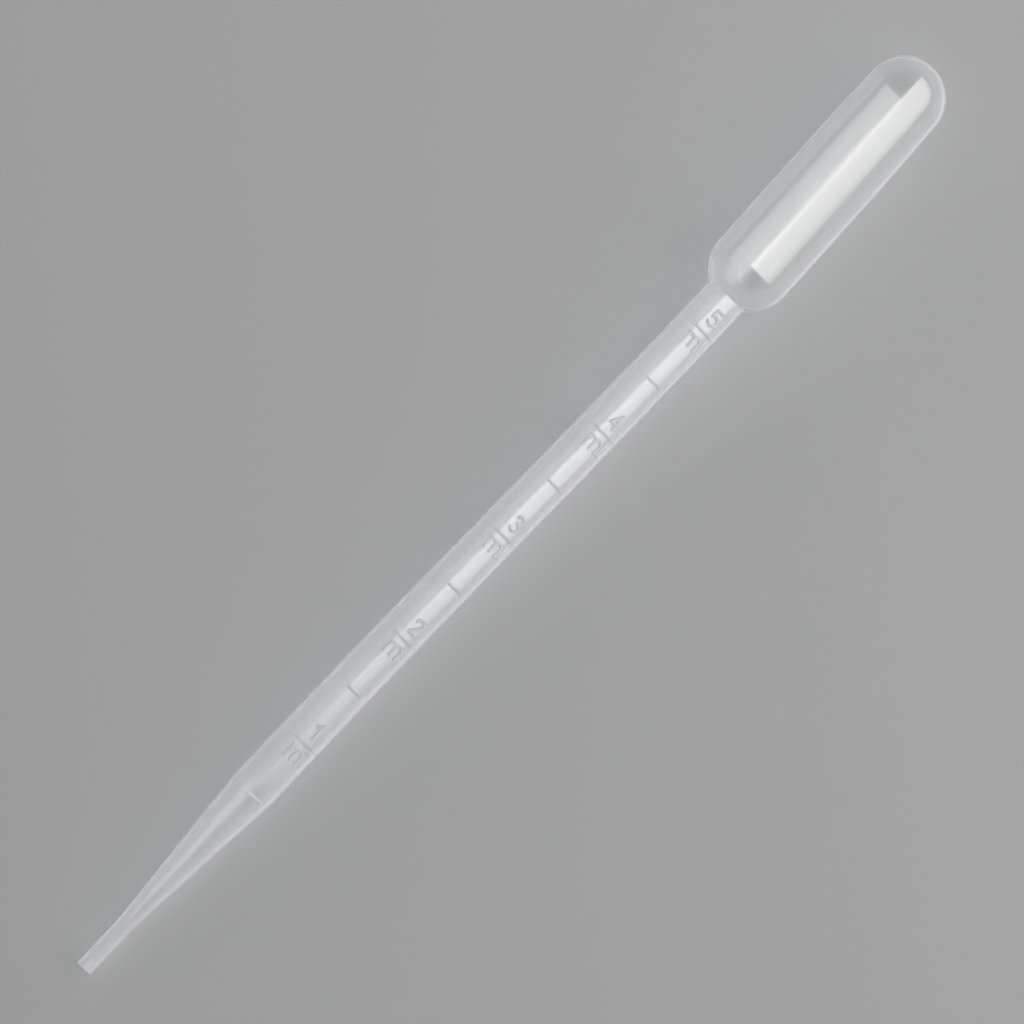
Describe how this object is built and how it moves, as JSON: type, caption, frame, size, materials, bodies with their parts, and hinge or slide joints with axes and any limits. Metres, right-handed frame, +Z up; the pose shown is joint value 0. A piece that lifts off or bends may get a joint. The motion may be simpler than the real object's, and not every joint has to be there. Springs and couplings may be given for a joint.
{
  "type": "dropper pipette",
  "caption": "One-piece plastic transfer pipette: a drawn-out tip, a straight tube with raised graduations, and a round-ended squeeze bulb, hollow throughout.",
  "frame": {"origin": "on the surface the pipette lies on, under the middle of its bounding box", "axes": "+X from the tip towards the bulb, +Z up; the body's own axis rises 1.60 degrees towards the bulb, because it rests on its shoulder and on its fatter bulb"},
  "size_m": [0.22, 0.0158, 0.0166],
  "materials": {
    "polyethylene": "milky translucent low-density polyethylene with a soft satin gloss"
  },
  "bodies": {
    "root": {"pipette": "polyethylene"}
  },
  "joints": []
}
